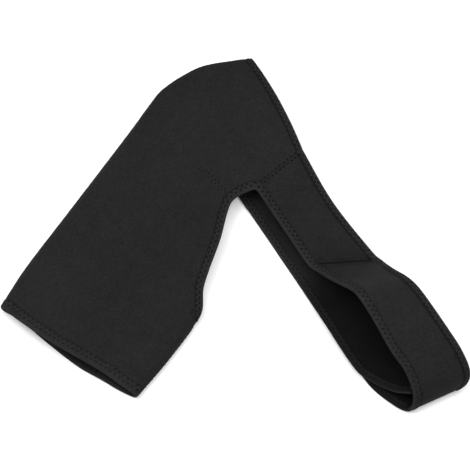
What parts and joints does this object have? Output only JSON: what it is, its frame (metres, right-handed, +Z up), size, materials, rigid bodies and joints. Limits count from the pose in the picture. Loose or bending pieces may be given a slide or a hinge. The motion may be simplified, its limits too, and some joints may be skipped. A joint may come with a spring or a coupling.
{
  "type": "shoulder brace",
  "caption": "Neoprene shoulder brace lying flat: folded upper-arm sleeve with a shoulder cap, taped edges, and two straps fastened to each other in an open loop.",
  "frame": {"origin": "middle of the brace's plan box, on the surface that it lies on", "axes": "+X across the spread-out brace from the cuff's side towards the strap loop, +Y from the cuff up towards the shoulder, +Z up from the surface"},
  "size_m": [0.4673, 0.3773, 0.0559],
  "materials": {
    "neoprene": "black nylon jersey laminated on closed-cell neoprene foam, matte with a faint sheen",
    "edge_tape": "black woven edge tape folded over the cut edges and sewn through with two rows of stitches",
    "hook_tape": "black hook-and-loop tape"
  },
  "bodies": {
    "root": {"sleeve": "neoprene", "front_strap": "neoprene", "back_strap": "neoprene", "hook_patch": "hook_tape", "cuff_binding": "edge_tape", "inner_binding": "edge_tape", "outer_binding": "edge_tape"}
  },
  "joints": []
}
